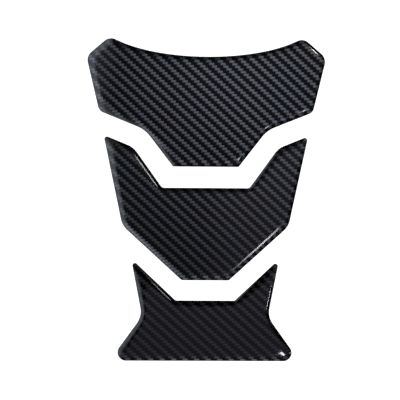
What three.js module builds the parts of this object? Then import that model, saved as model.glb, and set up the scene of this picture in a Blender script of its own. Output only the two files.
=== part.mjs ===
// Motorcycle tank pad: three domed carbon-look sections that lie in line on the fuel tank.
//
// Each section is three bonded layers with one outline: a pressure-sensitive adhesive, a printed
// vinyl film, and a poured clear resin dome whose edge climbs from the film like a drop's.
//
// Millimetres. +Z points out of the glossy face, +Y towards the filler cap, and the origin is the
// middle of the footprint, on the surface that the adhesive lies on. Every outline is the same on
// both sides of X = 0, so only the +X half is stated, as corners before rounding.
import * as THREE from 'three';

// Layers, from the tank up
const adhesiveThickness = 0.15;
const filmThickness = 0.25;
const domeHeight = 1.5;
const domeShoulderWidth = 4.2; // from the cut edge to the dome's flat top
const domeShoulderCurl = 1.8; // the smaller, the steeper the dome rises from its edge

// Upper section, heights above its foot
const upperFootHalfWidth = 22.45;
const upperFootRounding = 1.5;
const upperBendHalfWidth = 41.75;
const upperBendHeight = 25.0;
const upperBendRounding = 21.0;
const upperFlankHalfWidth = 73.1;
const upperFlankHeight = 37.65;
const upperFlankRounding = 5.7;
const upperShoulderHalfWidth = 82.05;
const upperShoulderHeight = 74.9;
const upperShoulderRounding = 7.5;
const upperHornHalfWidth = 66.25;
const upperHornRounding = 7.0;
const hornStraight = 0.75; // its top edge runs straight to this corner for this share of the rounding
// Its top edge clears the filler cap: the bottom of an ellipse, this high in the middle, whose
// half-width goes on past the horn's corner
const capEdgeHeight = 75.2;
const capEdgeDepth = 26.7;
const capEdgePastHorn = 9.75;

// Middle section. Its notch and horns follow the upper section's foot, bend and flank, this far
// out to the side and below them
const middleNotchBeside = 7.35;
const middleNotchBelow = 14.5;
const middleNotchRounding = 3.2;
const middleBendBeside = 7.8;
const middleBendBelow = 12.0;
const middleBendRounding = 14.6;
const middleTipInside = 3.1;
const middleTipBelow = 16.3;
const middleTipRounding = 1.8;
// Its hips are below its tips, and its foot is below its notch
const middleHipHalfWidth = 56.85;
const middleHipDrop = 61.8;
const middleHipRounding = 14.2;
const middleFootHalfWidth = 16.15;
const middleFootDrop = 63.1;
const middleFootRounding = 2.95;

// Lower section. Its notch and horns follow the middle section's foot and hips
const lowerNotchBeside = 4.0;
const lowerNotchBelow = 13.85;
const lowerNotchRounding = 2.2;
const lowerTipInside = 6.15;
const lowerTipBelow = 22.3;
const lowerTipRounding = 1.75;
// Its waist is below its tips, and its base is below its notch
const lowerWaistHalfWidth = 43.0;
const lowerWaistDrop = 39.5;
const lowerWaistRounding = 13.9;
const lowerToeHalfWidth = 64.9;
const lowerToeDrop = 41.2;
const lowerToeRounding = 5.7;

// How finely curves are cut into straight lines
const stepsPerCorner = 6;
const stepsPerHalfCapEdge = 12;
const domeRings = 6;
const ringCrowding = 1.5; // above 1, the rings crowd towards the edge, where the dome is steepest
const sharpestRounding = 0.15; // what an outer corner keeps of its rounding, however far in it is

// The film is black with a faint blue cast, and the resin over it is clear
const resinLook = { color: 0xc9d2dc, roughness: 0.05, metalness: 0, transparent: true, opacity: 0.3 };
const filmLook = { color: 0x25272d, roughness: 0.35, metalness: 0.1 };
const adhesiveLook = { color: 0xb9bab4, roughness: 0.75, metalness: 0 };

function corner(x, y, rounding) {
  return { x, y, rounding };
}

// The ellipse of the top edge: its height above its lowest point, x away from its middle, and its
// slope there
const capEdgeHalfSpan = upperHornHalfWidth + capEdgePastHorn;

function capEdgeRise(x) {
  return capEdgeDepth * (1 - Math.sqrt(1 - (x / capEdgeHalfSpan) ** 2));
}

function capEdgeSlope(x) {
  return capEdgeDepth * x / (capEdgeHalfSpan ** 2 * Math.sqrt(1 - (x / capEdgeHalfSpan) ** 2));
}

// The +X half of the upper section, from its foot round to the middle of its top edge. The top
// edge leaves the ellipse where the horn's rounding starts, and goes on straight to the corner
function upperHalf() {
  const straight = hornStraight * upperHornRounding;
  const leaves = upperHornHalfWidth - straight;
  const hornHeight = capEdgeHeight + capEdgeRise(leaves) + capEdgeSlope(leaves) * straight;
  const half = [
    corner(upperFootHalfWidth, 0, upperFootRounding),
    corner(upperBendHalfWidth, upperBendHeight, upperBendRounding),
    corner(upperFlankHalfWidth, upperFlankHeight, upperFlankRounding),
    corner(upperShoulderHalfWidth, upperShoulderHeight, upperShoulderRounding),
    corner(upperHornHalfWidth, hornHeight, upperHornRounding),
  ];
  for (let step = stepsPerHalfCapEdge; step >= 0; step -= 1) {
    const x = leaves * step / stepsPerHalfCapEdge;
    half.push(corner(x, capEdgeHeight + capEdgeRise(x), 0));
  }
  return half;
}

// Each half below is stated in the heights of the section above it, so the gap goes with both
function middleHalf(upper) {
  const [foot, bend, flank] = upper;
  const notch = corner(foot.x + middleNotchBeside, foot.y - middleNotchBelow, middleNotchRounding);
  const tip = corner(flank.x - middleTipInside, flank.y - middleTipBelow, middleTipRounding);
  return [
    corner(middleFootHalfWidth, notch.y - middleFootDrop, middleFootRounding),
    corner(middleHipHalfWidth, tip.y - middleHipDrop, middleHipRounding),
    tip,
    corner(bend.x + middleBendBeside, bend.y - middleBendBelow, middleBendRounding),
    notch,
  ];
}

function lowerHalf(middle) {
  const [foot, hip] = middle;
  const notch = corner(foot.x + lowerNotchBeside, foot.y - lowerNotchBelow, lowerNotchRounding);
  const tip = corner(hip.x - lowerTipInside, hip.y - lowerTipBelow, lowerTipRounding);
  return [
    corner(lowerToeHalfWidth, notch.y - lowerToeDrop, lowerToeRounding),
    corner(lowerWaistHalfWidth, tip.y - lowerWaistDrop, lowerWaistRounding),
    tip,
    notch,
  ];
}

// The whole outline's corners, counter-clockwise seen from above
function bothSides(half) {
  const offAxis = half.filter(({ x }) => x > 0).reverse();
  return [...half, ...offAxis.map(({ x, y, rounding }) => corner(-x, y, rounding))];
}

// The corners moved in by a distance, square to both of their edges: an outer corner's rounding
// gets smaller by that distance, and an inner corner's gets larger
function movedIn(corners, distance) {
  return corners.map((here, index) => {
    const before = corners.at(index - 1);
    const after = corners[(index + 1) % corners.length];
    const into = new THREE.Vector2(here.x - before.x, here.y - before.y).normalize();
    const out = new THREE.Vector2(after.x - here.x, after.y - here.y).normalize();
    const share = distance / (1 + into.dot(out));
    const isOuter = into.cross(out) > 0;
    const tightest = sharpestRounding * here.rounding;
    const rounding = isOuter ? Math.max(here.rounding - distance, tightest) : here.rounding + distance;
    return {
      x: here.x - share * (into.y + out.y),
      y: here.y + share * (into.x + out.x),
      rounding: here.rounding > 0 ? rounding : 0,
    };
  });
}

// The outline as points: each rounded corner is an arc that touches both of its edges
function outlinePoints(corners) {
  return corners.flatMap((here, index) => {
    const centre = new THREE.Vector2(here.x, here.y);
    if (here.rounding === 0) return [centre];
    const before = corners.at(index - 1);
    const after = corners[(index + 1) % corners.length];
    const back = new THREE.Vector2(before.x - here.x, before.y - here.y).normalize();
    const ahead = new THREE.Vector2(after.x - here.x, after.y - here.y).normalize();
    const halfOpening = Math.acos(back.dot(ahead)) / 2;
    const inward = back.clone().add(ahead).normalize();
    centre.addScaledVector(inward, here.rounding / Math.sin(halfOpening));
    const side = Math.sign(back.cross(ahead));
    const facing = Math.atan2(-inward.y, -inward.x);
    const sweep = Math.PI - 2 * halfOpening;
    return Array.from({ length: stepsPerCorner + 1 }, (_, step) => {
      const angle = facing - side * sweep * (step / stepsPerCorner - 0.5);
      return new THREE.Vector2(
        centre.x + here.rounding * Math.cos(angle),
        centre.y + here.rounding * Math.sin(angle),
      );
    });
  });
}

// A layer of even thickness
function sheetGeometry(corners, thickness) {
  const shape = new THREE.Shape(outlinePoints(corners));
  return new THREE.ExtrudeGeometry(shape, { depth: thickness, bevelEnabled: false });
}

// The resin's height a distance in from the edge: it climbs steeply, then levels off
function domeRise(distance) {
  const climbed = 1 - Math.exp(-distance / domeShoulderCurl);
  return domeHeight * climbed / (1 - Math.exp(-domeShoulderWidth / domeShoulderCurl));
}

// Rings of the outline, each moved further in and higher, closed by a flat top and bottom. The
// rings are closest where the dome is steepest
function domeGeometry(corners) {
  const rings = Array.from({ length: domeRings + 1 }, (_, ring) => {
    const distance = domeShoulderWidth * (ring / domeRings) ** ringCrowding;
    const points = outlinePoints(movedIn(corners, distance));
    return points.map(({ x, y }) => new THREE.Vector3(x, y, domeRise(distance)));
  });
  const count = rings[0].length;
  const triangles = [];
  for (let ring = 0; ring < domeRings; ring += 1) {
    for (let point = 0; point < count; point += 1) {
      const next = (point + 1) % count;
      const [low, high] = [ring * count, (ring + 1) * count];
      triangles.push(low + point, low + next, high + next, low + point, high + next, high + point);
    }
  }
  const top = rings[domeRings];
  const topStart = domeRings * count;
  for (const [a, b, c] of THREE.ShapeUtils.triangulateShape(top, [])) {
    triangles.push(topStart + a, topStart + b, topStart + c);
  }
  for (const [a, b, c] of THREE.ShapeUtils.triangulateShape(rings[0], [])) {
    triangles.push(a, c, b);
  }
  const geometry = new THREE.BufferGeometry().setFromPoints(rings.flat());
  geometry.setIndex(triangles);
  geometry.computeVertexNormals();
  return geometry;
}

function layer(name, geometry, look, height) {
  const mesh = new THREE.Mesh(geometry, new THREE.MeshStandardMaterial(look));
  mesh.name = name;
  mesh.position.z = height;
  return mesh;
}

function section(name, half) {
  const corners = bothSides(half);
  const group = new THREE.Group();
  group.name = name;
  group.add(
    layer(`${name}_adhesive`, sheetGeometry(corners, adhesiveThickness), adhesiveLook, 0),
    layer(`${name}_carbon_film`, sheetGeometry(corners, filmThickness), filmLook, adhesiveThickness),
    layer(`${name}_clear_dome`, domeGeometry(corners), resinLook, adhesiveThickness + filmThickness),
  );
  return group;
}

const upper = upperHalf();
const middle = middleHalf(upper);
const lower = lowerHalf(middle);

const pad = new THREE.Group();
pad.name = 'tank_pad';
pad.add(section('upper', upper), section('middle', middle), section('lower', lower));

// The footprint is centred on the origin, whatever its length
const footprint = new THREE.Box3().setFromObject(pad, true);
pad.position.y = -(footprint.min.y + footprint.max.y) / 2;

export default pad;
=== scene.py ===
"""Motorcycle tank pad: the looks of three domed carbon-look sections around their fixed solids.

Each section is a resin dome on a printed film on an adhesive layer. The three layers are made here with
one smooth outline, which is worked out from the film's solid, and at the heights of their solids.
"""
import functools
import math
import typing

import bpy
import numpy as np
from mathutils import Matrix, Vector
from mathutils.geometry import delaunay_2d_cdt


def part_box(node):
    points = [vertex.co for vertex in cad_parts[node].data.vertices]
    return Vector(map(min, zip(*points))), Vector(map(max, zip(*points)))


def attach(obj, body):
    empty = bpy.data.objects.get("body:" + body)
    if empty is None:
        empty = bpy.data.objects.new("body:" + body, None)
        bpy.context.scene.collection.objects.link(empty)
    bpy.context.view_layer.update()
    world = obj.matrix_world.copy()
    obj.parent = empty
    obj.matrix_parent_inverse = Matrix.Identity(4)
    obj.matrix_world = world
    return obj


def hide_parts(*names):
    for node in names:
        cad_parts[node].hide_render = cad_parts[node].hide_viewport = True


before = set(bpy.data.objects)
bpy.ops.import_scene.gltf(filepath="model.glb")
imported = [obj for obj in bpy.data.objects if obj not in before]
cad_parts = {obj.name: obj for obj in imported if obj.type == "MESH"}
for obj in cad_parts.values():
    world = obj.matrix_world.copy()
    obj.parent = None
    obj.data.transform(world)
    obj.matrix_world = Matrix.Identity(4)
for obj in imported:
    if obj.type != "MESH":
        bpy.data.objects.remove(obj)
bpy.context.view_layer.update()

bl_info = {
    "name": "Motorcycle Tank Pad",
    "version": (1, 0, 0),
    "blender": (4, 5, 0),
    "location": "View3D > Sidebar > Tank Pad",
    "description": "Domes, printed weave, adhesive and stage of a three-section tank pad",
    "category": "Object",
}

MM = 0.001
SECTIONS = ("upper", "middle", "lower")
BODY = "root"

WHITE = (1.0, 1.0, 1.0)
SKY_BLUE = (0.82, 0.90, 1.0)

# A solid's points are read to this many decimals of a millimetre
POINT_DECIMALS = 4
# A triangle belongs to the upper face if it lies less than this far under it, in millimetres
FACE_DEPTH = 0.01
# A side of an outline is long if it is this many times as long as the side next to it
LONG_SIDE = 3
# Triangulations keep what lies inside their rim, and take points closer than this for one
KEEP_INSIDE = 1
SAME_POINT = 1e-6
# The share of its first error that the solving of the resin's shape may leave
ENOUGH = 1e-12
# The top of a dome is fine this many shoulders in from the edge
FINE_REACH = 1.9
# Further in, its points are this many times as far apart
COARSENESS = 4.0
# How many parts a dome's points are measured in
PARTS = 32
# The distances between a dome's edge and its first rings of points, in spacings
RING_DISTANCES = (0.45, 1.0, 1.7, 2.5)
# The renderer aims at lights by their stated power. The wide ones, which mirrored rays find by themselves,
# state this many times less than they have, so that the small lamps come out without noise
WIDE_SHARE = 40.0
# How fine the noise of each surface is, in waves to the metre
RIPPLE_WAVES = 90.0
WARMTH_WAVES = 45.0
FLOOR_WAVES = 60.0
VINYL_WAVES = (2000.0, 2000.0, 9000.0)
ADHESIVE_WAVES = 900.0
# The printed fibres: waves to a cell along a tow and across it, and their share of the relief
FIBRE_LENGTHWISE = 0.6
FIBRE_CROSSWISE = 16.0
FIBRE_SHARE = 0.15
# How much lower than its middle the sides of a float are
SIDE_FALL = 0.7
# How far the floor reaches from its middle, in metres
FLOOR_REACH = 8.0
DOME_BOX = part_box("upper_clear_dome")


class ResinSettings(bpy.types.PropertyGroup):
    """The poured domes"""

    height: bpy.props.FloatProperty(
        name="Height",
        description="How high a wide dome stands over its film",
        default=DOME_BOX[1][2] - DOME_BOX[0][2],
        unit="LENGTH",
    )
    shoulder: bpy.props.FloatProperty(
        name="Shoulder",
        description="How far in from a straight edge the dome goes flat",
        default=4.4 * MM,
        unit="LENGTH",
    )
    pull: bpy.props.FloatProperty(
        name="Pull",
        description="How far an edge is felt: the larger, the lower the resin stands in narrow tips",
        default=6.0 * MM,
        unit="LENGTH",
    )
    sink: bpy.props.FloatProperty(
        name="Sink",
        description="How far the dome's underside lies inside the film, so that no air shows between them",
        default=0.02 * MM,
        unit="LENGTH",
    )
    spacing: bpy.props.FloatProperty(
        name="Spacing",
        description="Distance between the points of the dome's surface",
        default=0.4 * MM,
        unit="LENGTH",
    )
    tint: bpy.props.FloatVectorProperty(
        name="Tint",
        description="What the resin leaves of light that passes through it. Dark, for a smooth sheen: "
        "the print's own lamp makes up for it",
        default=(0.02, 0.0204, 0.0214),
        size=3,
        subtype="COLOR",
    )
    gloss: bpy.props.FloatProperty(
        name="Roughness",
        description="Roughness of the resin, which softens the borders of what it mirrors",
        default=0.10,
        subtype="FACTOR",
    )
    ior: bpy.props.FloatProperty(
        name="Refractive Index",
        description="How strongly the resin bends light",
        default=1.49,
    )
    ripple: bpy.props.FloatProperty(
        name="Ripple",
        description="Height of the slow ripples that a poured surface sets with",
        default=0.0015 * MM,
        unit="LENGTH",
    )


def of_sections(label, description, upper, middle, lower, **how):
    """A property that holds a number for each section."""
    return bpy.props.FloatVectorProperty(
        name=label,
        description=f"{description}, on the upper, middle and lower section",
        default=(upper, middle, lower),
        size=len(SECTIONS),
        precision=4,
        **how,
    )


class WeaveSettings(bpy.types.PropertyGroup):
    """The printed twill weave, which each section was cut out of at another place"""

    cell_width: of_sections(
        "Cell Width", "Width of one cell of the twill", 1.987 * MM, 1.979 * MM, 1.964 * MM, unit="LENGTH"
    )
    cell_height: of_sections(
        "Cell Height", "Height of one cell of the twill", 1.756 * MM, 1.746 * MM, 1.723 * MM, unit="LENGTH"
    )
    turn: of_sections(
        "Turn", "How far the print is turned", -0.0101, -0.0087, -0.0043, unit="ROTATION"
    )
    start_across: of_sections(
        "Start Across",
        "Where a cell starts, across the pad",
        -0.83 * MM,
        6.78 * MM,
        4.46 * MM,
        unit="LENGTH",
    )
    start_up: of_sections(
        "Start Up", "Where a cell starts, along the pad", 65.80 * MM, 2.61 * MM, -71.99 * MM, unit="LENGTH"
    )
    light: bpy.props.FloatVectorProperty(
        name="Light Tows",
        description="Reflectance of the tows that lie across the pad",
        default=(0.55, 0.60, 0.76),
        size=3,
        subtype="COLOR",
    )
    warm: bpy.props.FloatVectorProperty(
        name="Warm Light Tows",
        description="Reflectance of the same tows where the print is warmest",
        default=(0.62, 0.60, 0.66),
        size=3,
        subtype="COLOR",
    )
    dark: bpy.props.FloatVectorProperty(
        name="Dark Tows",
        description="Reflectance of the tows that lie along the pad",
        default=(0.047, 0.052, 0.080),
        size=3,
        subtype="COLOR",
    )
    gap: bpy.props.FloatVectorProperty(
        name="Gaps",
        description="Reflectance between the tows that lie along the pad",
        default=(0.015, 0.015, 0.019),
        size=3,
        subtype="COLOR",
    )
    satin: bpy.props.FloatProperty(
        name="Satin",
        description="Roughness of the printed film",
        default=0.34,
        subtype="FACTOR",
    )
    metal: bpy.props.FloatProperty(
        name="Metallic",
        description="How much of the print shines as metal does, in its own colour",
        default=0.8,
        subtype="FACTOR",
    )
    relief: bpy.props.FloatProperty(
        name="Relief",
        description="How high the printed tows seem to stand",
        default=0.03 * MM,
        unit="LENGTH",
    )
    lean: bpy.props.FloatProperty(
        name="Lean",
        description="Share of the resin's slope by which light that comes in through it falls more askew",
        default=0.22,
        subtype="FACTOR",
    )
    edge: bpy.props.FloatVectorProperty(
        name="Edge",
        description="Colour of the film's cut edge",
        default=(0.012, 0.012, 0.014),
        size=3,
        subtype="COLOR",
    )


class AdhesiveSettings(bpy.types.PropertyGroup):
    """The adhesive under the films"""

    colour: bpy.props.FloatVectorProperty(
        name="Colour",
        description="Colour of the adhesive's cut edge",
        default=(0.50, 0.50, 0.47),
        size=3,
        subtype="COLOR",
    )
    satin: bpy.props.FloatProperty(
        name="Satin",
        description="Roughness of the adhesive's cut edge",
        default=0.55,
        subtype="FACTOR",
    )


class StageSettings(bpy.types.PropertyGroup):
    """Floor, camera and lights"""

    distance: bpy.props.FloatProperty(
        name="Camera Height",
        description="Height of the camera over the surface that the pad lies on",
        default=1.0,
        unit="LENGTH",
    )
    span: bpy.props.FloatProperty(
        name="Span",
        description="Width of the surface that the picture shows",
        default=273.2 * MM,
        unit="LENGTH",
    )
    beside: bpy.props.FloatProperty(
        name="Camera Beside",
        description="How far to the left of the pad's middle the camera stands",
        default=33.0 * MM,
        unit="LENGTH",
    )
    aim: bpy.props.FloatProperty(
        name="Aim Beside",
        description="How far to the left of the pad's middle the camera aims",
        default=3.86 * MM,
        unit="LENGTH",
    )
    roll: bpy.props.FloatProperty(
        name="Roll",
        description="How far the pad lies turned clockwise in the picture",
        default=0.00644,
        subtype="ANGLE",
    )
    surroundings: bpy.props.FloatProperty(
        name="Surroundings",
        description="Strength of the even white light from all sides",
        default=0.35,
    )
    backdrop: bpy.props.FloatProperty(
        name="Backdrop",
        description="How bright the surroundings look past the floor",
        default=1.1,
    )
    floor: bpy.props.FloatVectorProperty(
        name="Floor",
        description="Colour of the floor",
        default=(0.90, 0.90, 0.90),
        size=3,
        subtype="COLOR",
    )


def film_outline(node):
    """The outline of a flat node's upper face in millimetres, counter-clockwise: the directed edges of its
    upward triangles that no neighbouring triangle runs along the other way, chained end to start."""
    mesh = node.data
    mesh.calc_loop_triangles()
    places = np.empty(len(mesh.vertices) * 3)
    mesh.vertices.foreach_get("co", places)
    corners = np.empty(len(mesh.loop_triangles) * 3, dtype=np.int64)
    mesh.loop_triangles.foreach_get("vertices", corners)
    places = np.round(places.reshape(-1, 3) / MM, POINT_DECIMALS)
    merged, owner = np.unique(places, axis=0, return_inverse=True)
    triangles = owner.reshape(-1)[corners].reshape(-1, 3)
    top = merged[:, 2].max()
    triangles = triangles[(merged[triangles][:, :, 2] > top - FACE_DEPTH).all(axis=1)]
    starts = triangles.ravel()
    ends = np.roll(triangles, -1, axis=1).ravel()
    is_rim = ~np.isin(starts * len(merged) + ends, ends * len(merged) + starts)
    following = dict(zip(starts[is_rim].tolist(), ends[is_rim].tolist()))
    chain = [min(following)]
    while following[chain[-1]] != chain[0]:
        chain.append(following[chain[-1]])
    return merged[chain, :2]


def rounded(outline, spacing):
    """The outline again in finer steps, its cut corners made round: a Hermite cubic from each point to the
    next. A point's tangent halves the turn there, or follows its long side where a straight side ends."""
    sides = np.roll(outline, -1, axis=0) - outline
    lengths = np.linalg.norm(sides, axis=1)
    headings = sides / lengths[:, None]
    before = np.roll(headings, 1, axis=0)
    length_before = np.roll(lengths, 1)
    starts_long = lengths > LONG_SIDE * length_before
    ends_long = length_before > LONG_SIDE * lengths
    tangents = before + headings
    tangents[starts_long] = headings[starts_long]
    tangents[ends_long] = before[ends_long]
    tangents /= np.linalg.norm(tangents, axis=1)[:, None]
    counts = np.ceil(lengths / spacing).astype(int)
    side = np.repeat(np.arange(len(outline)), counts)
    step = np.arange(len(side)) - np.repeat(np.cumsum(counts) - counts, counts)
    t = (step / counts[side])[:, None]
    after = (side + 1) % len(outline)
    reach = lengths[side, None]
    return (
        (2 * t**3 - 3 * t**2 + 1) * outline[side]
        + (t**3 - 2 * t**2 + t) * reach * tangents[side]
        + (3 * t**2 - 2 * t**3) * outline[after]
        + (t**3 - t**2) * reach * tangents[after]
    )


def inward(outline):
    """The unit normal at each point of the outline, to its left, which is inwards."""
    along = np.roll(outline, -1, axis=0) - np.roll(outline, 1, axis=0)
    along /= np.linalg.norm(along, axis=1)[:, None]
    return np.stack([-along[:, 1], along[:, 0]], axis=1)


def depth_inside(points, outline):
    """How far inside the outline each point lies: its distance to the nearest side, and below zero outside.
    A point is inside where a ray to its right crosses the outline an odd number of times."""
    start = outline[None]
    end = np.roll(outline, -1, axis=0)[None]
    here = points[:, None]
    side = end - start
    share = ((here - start) * side).sum(axis=2) / (side**2).sum(axis=2)
    nearest = start + np.clip(share, 0, 1)[:, :, None] * side
    distance = np.linalg.norm(here - nearest, axis=2).min(axis=1)
    spans = (start[:, :, 1] > here[:, :, 1]) != (end[:, :, 1] > here[:, :, 1])
    rise = np.where(side[:, :, 1] == 0, 1, side[:, :, 1])
    crossing = start[:, :, 0] + (here[:, :, 1] - start[:, :, 1]) / rise * side[:, :, 0]
    inside = (spans & (here[:, :, 0] < crossing)).sum(axis=1) % 2 == 1
    return np.where(inside, distance, -distance)


def lattice_inside(outline, spacing, nearest, furthest):
    """The points of an even triangular lattice whose depth inside the outline lies between two limits."""
    low = outline.min(axis=0)
    high = outline.max(axis=0)
    row_height = spacing * math.sqrt(3) / 2
    rows = np.arange(math.ceil((high[1] - low[1]) / row_height))
    columns = np.arange(math.ceil((high[0] - low[0]) / spacing) + 1)
    across = low[0] + spacing * (columns[None] + 0.5 * (rows[:, None] % 2))
    up = np.broadcast_to(low[1] + row_height * rows[:, None], across.shape)
    points = np.stack([across, up], axis=2).reshape(-1, 2)
    # In parts, because all of them at once would fill the memory
    depth = np.concatenate([depth_inside(part, outline) for part in np.array_split(points, PARTS)])
    return points[(depth > nearest) & (depth < furthest)]


def dome_points(outline, fine, spacing, reach):
    """The points of a dome's surface seen from above: the fine outline, rings of it moved inwards while its
    tightest corner allows, a fine lattice as far in as the reach and a coarse one over the flat rest."""
    moved = spacing * np.array(RING_DISTANCES)
    rings = fine[None] + moved[:, None, None] * inward(fine)[None]
    shoulder = lattice_inside(outline, spacing, moved[-1] + 0.6 * spacing, reach)
    flat = lattice_inside(outline, COARSENESS * spacing, reach + 0.5 * COARSENESS * spacing, math.inf)
    return np.concatenate([fine, rings.reshape(-1, 2), shoulder, flat])


def triangulated(points, rim_count):
    """Delaunay triangles over the points, inside the rim that the first of them form. Returns the points in
    the order of the mesh, the triangles, and which points lie on the rim, in rim order."""
    outline = list(range(rim_count))
    places, _, faces, sources, _, _ = delaunay_2d_cdt(
        [Vector(place) for place in points.tolist()], [], [outline], KEEP_INSIDE, SAME_POINT
    )
    source = np.array([min(from_input) for from_input in sources])
    rim = np.empty(rim_count, dtype=int)
    is_rim = source < rim_count
    rim[source[is_rim]] = np.flatnonzero(is_rim)
    return np.array([tuple(place) for place in places]), np.array(faces), rim


def filled(points, triangles, rim, pull):
    """How full each point is of resin: a field that is zero on the rim and, away from it, one. Its
    curvature times the pull squared equals what it lacks to one, so beside a straight edge it is one minus
    the exponential of minus the distance over the pull. Conjugate gradients solve that on the triangles."""
    corner = points[triangles]
    opposite = np.roll(corner, -2, axis=1) - np.roll(corner, -1, axis=1)
    double_area = opposite[:, 0, 0] * opposite[:, 1, 1] - opposite[:, 0, 1] * opposite[:, 1, 0]
    lean_x = -opposite[:, :, 1].T / double_area
    lean_y = opposite[:, :, 0].T / double_area
    owner = triangles.T.ravel()
    count = len(points)

    def gathered(shares):
        return np.bincount(owner, shares.ravel(), count)

    mass = gathered(np.broadcast_to(double_area / 6, lean_x.shape)) / pull**2
    weight = double_area / 2
    free = np.ones(count)
    free[rim] = 0

    def tension(field):
        first, second, third = field[triangles.T]
        slope_x = lean_x[0] * first + lean_x[1] * second + lean_x[2] * third
        slope_y = lean_y[0] * first + lean_y[1] * second + lean_y[2] * third
        return free * (gathered(lean_x * (weight * slope_x) + lean_y * (weight * slope_y)) + mass * field)

    own = gathered(weight * (lean_x**2 + lean_y**2)) + mass
    field = 1.0 * free
    missing = free * mass - tension(field)
    toward = missing / own
    left = missing @ toward
    goal = ENOUGH * left
    step = toward
    while left > goal:
        answer = tension(step)
        length = left / (step @ answer)
        field = field + length * step
        missing = missing - length * answer
        toward = missing / own
        before, left = left, missing @ toward
        step = toward + left / before * step
    return field


@functools.cache
def poured(section, height, shoulder, pull, spacing):
    """The resin's surface on a section, in millimetres: points seen from above, triangles, rim and heights.
    A height is a cubic of the fullness, 3t/2 - t^3/2 of the full height, where t is the fullness over what
    a straight edge has at the shoulder. Past the shoulder the dome is flat."""
    outline = film_outline(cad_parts[f"{section}_carbon_film"])
    fine = rounded(outline, 0.9 * spacing)
    loose = dome_points(outline, fine, spacing, FINE_REACH * shoulder)
    points, triangles, rim = triangulated(loose, len(fine))
    fullness = filled(points, triangles, rim, pull)
    t = np.clip(fullness / (1 - math.exp(-shoulder / pull)), 0, 1)
    return points, triangles, rim, height * (1.5 * t - 0.5 * t**3)


def poured_by(section, resin):
    """The resin's surface on a section, by the settings."""
    return poured(section, resin.height / MM, resin.shoulder / MM, resin.pull / MM, resin.spacing / MM)


def closed_mesh(name, points, triangles, rim, top, inset, bottom):
    """A closed mesh in metres: a surface at the top heights, a flat underside with its rim moved inwards by
    the inset, and a band between them."""
    surface = np.column_stack([points, np.broadcast_to(top, len(points))])
    below = points[rim] + inset * inward(points[rim])
    under = np.column_stack([below, np.full(len(rim), bottom)])
    _, under_triangles, under_rim = triangulated(below, len(rim))
    back = np.argsort(under_rim)
    first = len(surface)
    following = np.roll(rim, -1)
    lower = first + np.arange(len(rim))
    lower_following = np.roll(lower, -1)
    faces = np.concatenate([
        triangles,
        np.column_stack([rim, lower, lower_following]),
        np.column_stack([rim, lower_following, following]),
        first + back[under_triangles][:, ::-1],
    ])
    mesh = bpy.data.meshes.new(name)
    mesh.from_pydata((np.concatenate([surface, under]) * MM).tolist(), [], faces.tolist())
    is_top = np.arange(len(faces)) < len(triangles)
    is_band = ~is_top & (np.arange(len(faces)) < len(triangles) + 2 * len(rim))
    mesh.polygons.foreach_set("use_smooth", is_top | is_band)
    ends = np.empty(len(mesh.edges) * 2, dtype=int)
    mesh.edges.foreach_get("vertices", ends)
    ends = ends.reshape(-1, 2)
    on_rim = np.isin(ends, rim).all(axis=1) | np.isin(ends, lower).all(axis=1)
    mesh.edges.foreach_set("use_edge_sharp", on_rim)
    mesh.polygons.foreach_set("material_index", np.where(is_top, 0, 1).astype(np.int32))
    mesh.update()
    return mesh


class Value:
    """A number over a surface. Arithmetic on it adds Math nodes to its graph."""

    def __init__(self, graph, socket):
        self.graph = graph
        self.socket = socket

    def maths(self, operation, *others):
        """The answer of a Math node to this number and others."""
        return Value(self.graph, self.graph.node("ShaderNodeMath", {"operation": operation}, self, *others))

    def __add__(self, other):
        return self.maths("ADD", other)

    def __sub__(self, other):
        return self.maths("SUBTRACT", other)

    def __rsub__(self, other):
        return (self * -1) + other

    def __mul__(self, other):
        return self.maths("MULTIPLY", other)

    def __truediv__(self, other):
        return self.maths("DIVIDE", other)

    def __lt__(self, other):
        return self.maths("LESS_THAN", other)

    def __mod__(self, other):
        return self.maths("FLOORED_MODULO", other)

    __radd__ = __add__
    __rmul__ = __mul__


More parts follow.
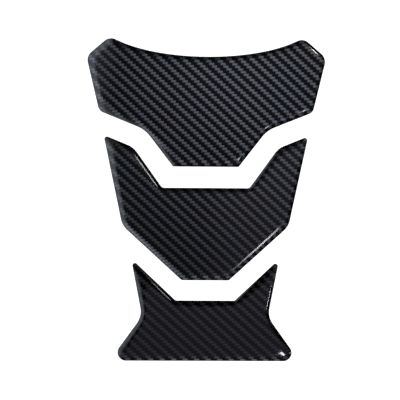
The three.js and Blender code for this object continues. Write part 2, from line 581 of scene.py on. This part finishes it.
class Graph:
    """The nodes of a material, a light or the world."""

    def __init__(self, owner):
        owner.use_nodes = True
        self.owner = owner
        self.tree = owner.node_tree
        self.tree.nodes.clear()

    def node(self, kind, settings, *inputs, output=0, **named):
        """Adds a node, sets its settings, then fills its inputs with values or links. Returns an output."""
        new = self.tree.nodes.new(kind)
        for name, setting in settings.items():
            setattr(new, name, setting)
        filled = list(zip(new.inputs, inputs))
        filled += [(new.inputs[name.replace("_", " ")], value) for name, value in named.items()]
        for socket, value in filled:
            if isinstance(value, Value):
                value = value.socket
            if isinstance(value, bpy.types.NodeSocket):
                self.tree.links.new(value, socket)
            elif value is not None:
                socket.default_value = value
        return new.outputs[output] if new.outputs else None

    def place(self):
        """The place on the object, in metres."""
        return self.node("ShaderNodeTexCoord", {}, output="Object")

    def axes(self, place):
        """The first two coordinates of a place."""
        first = self.node("ShaderNodeSeparateXYZ", {}, place)
        return Value(self, first), Value(self, first.node.outputs[1])

    def stretched(self, place, scale):
        """A place scaled by three numbers."""
        return self.node("ShaderNodeVectorMath", {"operation": "MULTIPLY"}, place, scale)

    def held(self, attribute):
        """A number that the mesh holds at its points."""
        settings = {"attribute_name": attribute, "attribute_type": "GEOMETRY"}
        return Value(self, self.node("ShaderNodeAttribute", settings, output="Fac"))

    def noise(self, place, scale=1.0, detail=2.0):
        """Soft noise from 0 to 1, with the scale in waves to the unit of the place."""
        made = self.node("ShaderNodeTexNoise", {}, Vector=place, Scale=scale, Detail=detail, output="Fac")
        return Value(self, made)

    def mixed(self, share, first, second):
        """A colour between two. The node's five sockets before those for colours aren't used."""
        unused = [None] * 5
        return self.node("ShaderNodeMix", {"data_type": "RGBA"}, share, *unused, first, second, output=2)

    def bump(self, height, distance):
        """A normal tilted by a height, of which 1 stands for a distance in metres."""
        return self.node("ShaderNodeBump", {}, Height=height, Distance=distance, Strength=1.0)

    def finish(self, **inputs):
        """Ends the material in a Principled shader with these inputs."""
        shader = self.node("ShaderNodeBsdfPrincipled", {}, **inputs)
        self.node("ShaderNodeOutputMaterial", {}, shader)
        return self.owner


def material_graph(name):
    """The empty nodes of a new material."""
    return Graph(bpy.data.materials.new(name))


def opaque(colour):
    """A colour with its alpha."""
    return (*colour, 1.0)


def resin_material(settings):
    """Clear resin that mirrors sharply, its surface rippled a little."""
    graph = material_graph("clear_resin")
    ripples = graph.noise(graph.place(), RIPPLE_WAVES, detail=1.0)
    return graph.finish(
        Base_Color=opaque(settings.tint),
        Roughness=settings.gloss,
        IOR=settings.ior,
        Transmission_Weight=1.0,
        Normal=graph.bump(ripples, settings.ripple),
    )


def weave_material(section, settings):
    """Printed 2 by 2 twill. Cells lie in a grid: where column plus row, counted in fours, is 0 or 1, a tow
    across the pad lies on top, and where it is 2 or 3 a tow along the pad does. Each float is two cells
    long, crowned across and along, and streaked by its fibres. The light tows go slowly from cool to warm.
    Under sloped resin the print leans against the slope, because light is bent there before it gets in."""
    number = SECTIONS.index(section)
    graph = material_graph(f"{section}_print")
    cells = graph.node(
        "ShaderNodeMapping",
        {"vector_type": "TEXTURE"},
        graph.place(),
        Location=(settings.start_across[number], settings.start_up[number], 0.0),
        Rotation=(0.0, 0.0, settings.turn[number]),
        Scale=(settings.cell_width[number], settings.cell_height[number], 1.0),
    )
    across, up = graph.axes(cells)
    column = across.maths("FLOOR")
    row = up.maths("FLOOR")
    is_across = (column + row) % 4.0 < 2.0
    is_along = 1.0 - is_across
    along_weft = (across + row) % 4.0 / 2.0
    along_warp = ((up + column) % 4.0 - 2.0) / 2.0

    def crown(along, beside):
        """One in the middle of a float, nothing at its ends, and less at its sides."""
        ends = 1.0 - (along * 2.0 - 1.0).maths("POWER", 4.0)
        sides = 1.0 - (beside * 2.0 - 1.0).maths("POWER", 2.0) * SIDE_FALL
        return ends * sides

    weft_crown = crown(along_weft, up - row)
    warp_crown = crown(along_warp, across - column)
    weft_fibres = graph.noise(graph.stretched(cells, (FIBRE_LENGTHWISE, FIBRE_CROSSWISE, 1.0)))
    warp_fibres = graph.noise(graph.stretched(cells, (FIBRE_CROSSWISE, FIBRE_LENGTHWISE, 1.0)))
    fibres = is_across * weft_fibres + is_along * warp_fibres
    weave = is_across * weft_crown + is_along * warp_crown + fibres * FIBRE_SHARE
    height = weave * settings.relief - graph.held("resin_height") * settings.lean
    # A light tow is brightest on its crown, and its fibres streak it
    light = is_across * (weft_crown * 0.8 + 0.2) * (weft_fibres * 0.6 + 0.7)
    dark = graph.mixed(warp_crown * warp_fibres, opaque(settings.gap), opaque(settings.dark))
    warmth = graph.noise(graph.place(), WARMTH_WAVES, detail=1.0) * 2.0 - 0.5
    pale = graph.mixed(warmth, opaque(settings.light), opaque(settings.warm))
    return graph.finish(
        Base_Color=graph.mixed(light, dark, pale),
        Roughness=settings.satin,
        Metallic=settings.metal,
        Normal=graph.bump(height, 1.0),
    )


def vinyl_material(settings):
    """Black vinyl, a little uneven where it was cut."""
    graph = material_graph("vinyl_edge")
    grain = graph.noise(graph.stretched(graph.place(), VINYL_WAVES))
    paler = opaque([2.0 * part for part in settings.edge])
    return graph.finish(
        Base_Color=graph.mixed(grain, opaque(settings.edge), paler),
        Roughness=grain * 0.2 + 0.4,
        Normal=graph.bump(grain, 0.01 * MM),
    )


def adhesive_material(settings):
    """Pale, slightly uneven adhesive."""
    graph = material_graph("adhesive")
    spots = graph.noise(graph.place(), ADHESIVE_WAVES, detail=3.0)
    paler = opaque([min(1.0, 1.15 * part) for part in settings.colour])
    darker = opaque([0.8 * part for part in settings.colour])
    return graph.finish(
        Base_Color=graph.mixed(spots, darker, paler),
        Roughness=spots * 0.2 + (settings.satin - 0.1),
        Normal=graph.bump(spots, 0.02 * MM),
    )


def add_layer(name, mesh, materials, node):
    """Adds a layer of the pad, which stands for its solid."""
    for material in materials:
        mesh.materials.append(material)
    layer = bpy.data.objects.new(name, mesh)
    bpy.context.scene.collection.objects.link(layer)
    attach(layer, BODY)
    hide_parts(node)
    return layer


def collection_of(name, objects):
    """A collection outside the scene, for the lights that reach only these objects."""
    made = bpy.data.collections.new(name)
    for member in objects:
        made.objects.link(member)
    return made


class TANKPAD_OT_films(bpy.types.Operator):
    """Makes the three printed films"""

    bl_idname = "tankpad.films"
    bl_label = "Printed Films"

    def execute(self, context):
        settings = context.scene.tankpad_weave
        vinyl = vinyl_material(settings)
        for section in SECTIONS:
            node = f"{section}_carbon_film"
            low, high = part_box(node)
            points, triangles, rim, heights = poured_by(section, context.scene.tankpad_resin)
            mesh = closed_mesh(f"{section}_film", points, triangles, rim, high[2] / MM, 0.0, low[2] / MM)
            held = mesh.attributes.new("resin_height", "FLOAT", "POINT")
            held.data.foreach_set("value", np.concatenate([heights * MM, np.zeros(len(rim))]))
            print_material = weave_material(section, settings)
            add_layer(f"{section}_film", mesh, (print_material, vinyl), node)
        return {"FINISHED"}


class TANKPAD_OT_adhesives(bpy.types.Operator):
    """Makes the three adhesive layers"""

    bl_idname = "tankpad.adhesives"
    bl_label = "Adhesive Layers"

    def execute(self, context):
        material = adhesive_material(context.scene.tankpad_adhesive)
        for section in SECTIONS:
            node = f"{section}_adhesive"
            low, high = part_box(node)
            points, _, rim, _ = poured_by(section, context.scene.tankpad_resin)
            edge, triangles, order = triangulated(points[rim], len(rim))
            mesh = closed_mesh(f"{section}_glue", edge, triangles, order, high[2] / MM, 0.0, low[2] / MM)
            add_layer(f"{section}_glue", mesh, (material, material), node)
        return {"FINISHED"}


class TANKPAD_OT_domes(bpy.types.Operator):
    """Pours the three resin domes on their films"""

    bl_idname = "tankpad.domes"
    bl_label = "Resin Domes"

    def execute(self, context):
        settings = context.scene.tankpad_resin
        material = resin_material(settings)
        for section in SECTIONS:
            points, triangles, rim, heights = poured_by(section, settings)
            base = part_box(f"{section}_carbon_film")[1][2] / MM
            sink = settings.sink / MM
            mesh = closed_mesh(
                f"{section}_resin", points, triangles, rim, base + heights, sink, base - sink
            )
            node = f"{section}_clear_dome"
            dome = add_layer(f"{section}_resin", mesh, (material, material), node)
            # Lamps light the print straight through the dome, and no other piece mirrors the dome
            dome.visible_shadow = False
            dome.visible_diffuse = False
            dome.visible_glossy = False
        return {"FINISHED"}


class Lamp(typing.NamedTuple):
    """A rectangular light: where it hangs, its width and height, how bright it looks, and what it reaches.
    It faces the target, with its height as near as can be along the top direction. A fade dims it evenly
    towards the border on its right, over that share of its width."""

    place: tuple
    size: tuple
    radiance: float
    reaches: str
    top: tuple = (0.0, 1.0, 0.0)
    target: tuple = (0.0, 0.0, 0.0)
    fade: float = 0.0
    colour: tuple = WHITE


UPWARD = (0.0, 0.0, 1.0)
FAR_PLACE = (0.764, 0.62, 1.5)
FAR_SIZE = (0.20, 0.36)
FAR_TOP = (0.8, 0.6, 0.0)

# In metres. A lamp that reaches a dome is only mirrored in it, and hangs where its glint or band asks
LAMPS = {
    "window": Lamp(
        (-0.229, 0.025, 0.109), (0.316, 1.4), 1.7, "domes",
        top=(0.163, 0.987, 0.0), target=(-0.101, 0.004, -0.374), fade=0.218, colour=SKY_BLUE,
    ),
    "wall": Lamp(
        (0.32, -0.524, 1.5), (1.2, 1.8), 0.235, "lower_dome",
        top=(0.832, 0.555, 0.0), target=(0.32, -0.524, 0.0), fade=0.15, colour=(0.84, 0.80, 1.0),
    ),
    "ceiling": Lamp(
        (0.0, 0.0, 1.6), (2.4, 2.4), 0.055, "middle_dome",
        fade=0.15, colour=(0.80, 0.85, 1.0),
    ),
    "wall_middle": Lamp(
        (0.665, -0.2, 1.5), (1.2, 1.8), 0.13, "middle_dome",
        target=(0.665, -0.2, 0.0), fade=0.15, colour=(0.86, 0.83, 1.0),
    ),
    "horizon_front": Lamp((1.2, -1.2, 0.36), (3.4, 0.36), 0.4, "domes", top=UPWARD, colour=SKY_BLUE),
    "horizon_left": Lamp((-1.7, 0.0, 0.22), (3.4, 0.36), 0.25, "domes", top=UPWARD, colour=SKY_BLUE),
    "horizon_back": Lamp((0.0, 1.7, 0.22), (3.4, 0.36), 0.25, "domes", top=UPWARD, colour=SKY_BLUE),
    "lamp_horn": Lamp((0.442, 0.5, 0.5), (0.04, 0.08), 61.0, "upper_dome", top=(0.66, 0.75, 0.0)),
    "lamp_corner": Lamp((1.248, -0.975, 4.0), (0.08, 0.6), 36.0, "upper_dome", top=(0.59, -0.81, 0.0)),
    "lamp_far": Lamp(FAR_PLACE, FAR_SIZE, 11.0, "middle_dome", top=FAR_TOP),
    "lamp_notch": Lamp(FAR_PLACE, FAR_SIZE, 5.4, "lower_dome", top=FAR_TOP),
    "lamp_side": Lamp((1.02, -0.88, 4.0), (0.12, 1.1), 25.0, "middle_dome", top=(0.67, -0.74, 0.0)),
    "lamp_toe": Lamp(
        (0.13, -0.186, 0.3), (0.028, 0.07), 27.0, "lower_dome",
        top=(0.64, -0.77, 0.0), target=(0.052, -0.105, 0.0),
    ),
    "lamp_low": Lamp((0.493, -0.182, 0.5), (0.04, 0.04), 34.0, "lower_dome"),
    "weave_light": Lamp((0.058, 0.145, 0.7), (0.16, 0.12), 9.3, "prints"),
    "floor_light": Lamp((0.0, 0.0, 3.0), (6.0, 6.0), 2.2, "floors"),
}


def facing(place, target, top):
    """Where an object stands that looks from a place at a target, with its top along a direction."""
    back = (Vector(place) - Vector(target)).normalized()
    right = Vector(top).cross(back).normalized()
    turned = Matrix((right, back.cross(right), back)).transposed().to_4x4()
    return Matrix.Translation(place) @ turned


def add_lamp(name, lamp, reached):
    """Hangs a light that only the reached objects get, and that the camera doesn't see. A lamp that fades
    is a wide one: its stated power is its real one over WIDE_SHARE, which its nodes then give back."""
    data = bpy.data.lights.new(name, "AREA")
    data.shape = "RECTANGLE"
    data.size, data.size_y = lamp.size
    data.color = lamp.colour
    data.energy = lamp.radiance * math.pi * math.prod(lamp.size)
    light = bpy.data.objects.new(name, data)
    light.matrix_world = facing(lamp.place, lamp.target, lamp.top)
    light.visible_camera = False
    light.light_linking.receiver_collection = reached
    bpy.context.scene.collection.objects.link(light)
    if lamp.fade:
        data.energy /= WIDE_SHARE
        graph = Graph(data)
        across, _ = graph.axes(graph.node("ShaderNodeNewGeometry", {}, output="Parametric"))
        strength = graph.node(
            "ShaderNodeMapRange",
            {"interpolation_type": "SMOOTHSTEP"},
            Value=across,
            From_Min=1.0,
            From_Max=1.0 - lamp.fade,
            To_Max=WIDE_SHARE,
        )
        glow = graph.node("ShaderNodeEmission", {}, Color=opaque(WHITE), Strength=strength)
        graph.node("ShaderNodeOutputLight", {}, glow)
    return light


def add_floor(colour):
    """A plain floor, wide enough for low views."""
    mesh = bpy.data.meshes.new("floor")
    corners = [(FLOOR_REACH * x, FLOOR_REACH * y, 0.0) for x, y in ((-1, -1), (1, -1), (1, 1), (-1, 1))]
    mesh.from_pydata(corners, [], [(0, 1, 2, 3)])
    graph = material_graph("floor")
    mottle = graph.noise(graph.place(), FLOOR_WAVES)
    darker = opaque([0.98 * part for part in colour])
    colours = graph.mixed(mottle, darker, opaque(colour))
    mesh.materials.append(graph.finish(Base_Color=colours, Roughness=0.9))
    floor = bpy.data.objects.new("floor", mesh)
    bpy.context.scene.collection.objects.link(floor)
    return floor


def add_camera(settings):
    """A camera over the pad, a little to its left, rolled so that the pad lies turned as in the picture."""
    data = bpy.data.cameras.new("camera")
    data.lens = data.sensor_width * settings.distance / settings.span
    camera = bpy.data.objects.new("camera", data)
    top = (-math.sin(settings.roll), math.cos(settings.roll), 0.0)
    place = (-settings.beside, 0.0, settings.distance)
    camera.matrix_world = facing(place, (-settings.aim, 0.0, 0.0), top)
    bpy.context.scene.collection.objects.link(camera)
    bpy.context.scene.camera = camera


def add_world(settings):
    """White surroundings that light softly and that the domes don't mirror."""
    world = bpy.data.worlds.new("surroundings")
    bpy.context.scene.world = world
    graph = Graph(world)
    seen = graph.node("ShaderNodeLightPath", {}, output="Is Camera Ray")
    strength = graph.node(
        "ShaderNodeMapRange", {}, Value=seen, To_Min=settings.surroundings, To_Max=settings.backdrop
    )
    sky = graph.node("ShaderNodeBackground", {}, Color=opaque(WHITE), Strength=strength)
    graph.node("ShaderNodeOutputWorld", {}, sky)
    world.cycles_visibility.glossy = False
    world.cycles_visibility.transmission = False


class TANKPAD_OT_stage(bpy.types.Operator):
    """Adds the floor, the soft lights and the camera"""

    bl_idname = "tankpad.stage"
    bl_label = "Stage"

    def execute(self, context):
        settings = context.scene.tankpad_stage
        floor = add_floor(settings.floor)
        upper, middle, lower = [bpy.data.objects[f"{section}_resin"] for section in SECTIONS]
        prints = [bpy.data.objects[f"{s}_{layer}"] for s in SECTIONS for layer in ("film", "glue")]
        reached = {
            "domes": collection_of("domes", (upper, middle, lower)),
            "upper_dome": collection_of("upper_dome", (upper,)),
            "middle_dome": collection_of("middle_dome", (middle,)),
            "lower_dome": collection_of("lower_dome", (lower,)),
            "prints": collection_of("prints", prints),
            "floors": collection_of("floors", (floor,)),
        }
        lights = {name: add_lamp(name, lamp, reached[lamp.reaches]) for name, lamp in LAMPS.items()}
        lights["floor_light"].light_linking.blocker_collection = reached["floors"]
        lights["floor_light"].visible_glossy = False
        add_world(settings)
        add_camera(settings)
        context.scene.view_settings.view_transform = "Standard"
        return {"FINISHED"}


class TANKPAD_PT_sidebar(bpy.types.Panel):
    """Lists the pieces of the tank pad and their settings"""

    bl_label = "Tank Pad"
    bl_idname = "TANKPAD_PT_sidebar"
    bl_space_type = "VIEW_3D"
    bl_region_type = "UI"
    bl_category = "Tank Pad"

    def draw(self, context):
        for settings, group, operator in GROUPS:
            box = self.layout.box()
            for name in group.__annotations__:
                box.prop(getattr(context.scene, settings), name)
            box.operator(operator.bl_idname)


GROUPS = (
    ("tankpad_weave", WeaveSettings, TANKPAD_OT_films),
    ("tankpad_adhesive", AdhesiveSettings, TANKPAD_OT_adhesives),
    ("tankpad_resin", ResinSettings, TANKPAD_OT_domes),
    ("tankpad_stage", StageSettings, TANKPAD_OT_stage),
)
CLASSES = (
    *(group for _, group, _ in GROUPS),
    *(operator for _, _, operator in GROUPS),
    TANKPAD_PT_sidebar,
)


def register():
    for made in CLASSES:
        bpy.utils.register_class(made)
    for name, group, _ in GROUPS:
        setattr(bpy.types.Scene, name, bpy.props.PointerProperty(type=group))


def unregister():
    for name, _, _ in GROUPS:
        delattr(bpy.types.Scene, name)
    for made in reversed(CLASSES):
        bpy.utils.unregister_class(made)


def main():
    register()
    bpy.ops.tankpad.films()
    bpy.ops.tankpad.adhesives()
    bpy.ops.tankpad.domes()
    bpy.ops.tankpad.stage()


if __name__ == "__main__":
    main()
